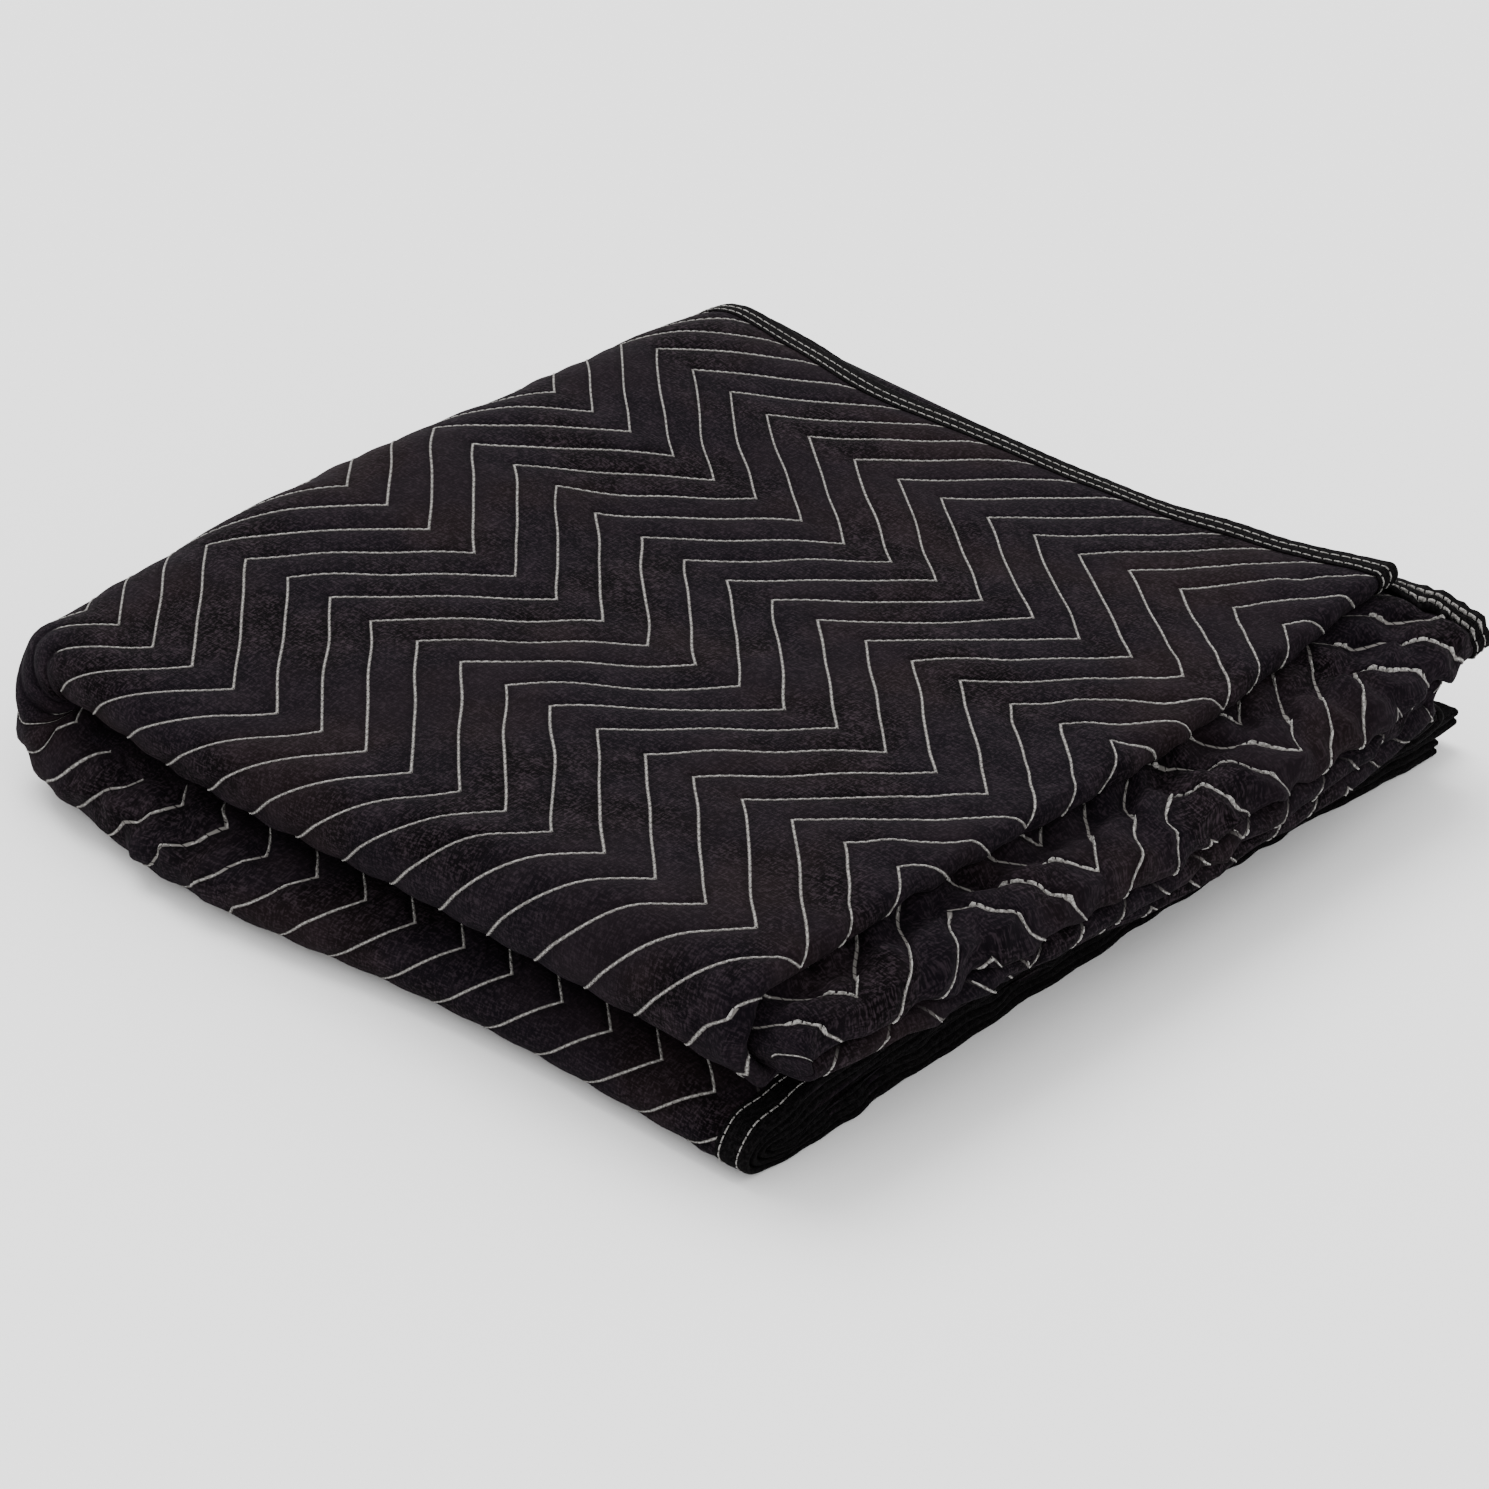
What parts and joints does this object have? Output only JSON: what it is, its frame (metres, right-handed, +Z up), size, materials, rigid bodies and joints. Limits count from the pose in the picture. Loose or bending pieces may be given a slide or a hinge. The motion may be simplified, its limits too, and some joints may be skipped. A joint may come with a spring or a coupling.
{
  "type": "folded moving blanket",
  "caption": "Quilted moving blanket folded into a thick flat pack, with zigzag seams and a sewn binding along its edges.",
  "frame": {"origin": "the middle of the pack's footprint, on the surface it lies on", "axes": "+Z up, +X from the big rounded fold to the loose ends, +Y from the front fold to the bound sides"},
  "size_m": [0.4676, 0.5191, 0.0962],
  "materials": {
    "quilted_cloth": "matt woven black cloth",
    "binding_tape": "matt black woven tape"
  },
  "bodies": {
    "root": {"quilted_panel": "quilted_cloth", "end_binding_outer": "binding_tape", "end_binding_inner": "binding_tape", "side_binding_top": "binding_tape", "side_binding_second": "binding_tape"}
  },
  "joints": []
}
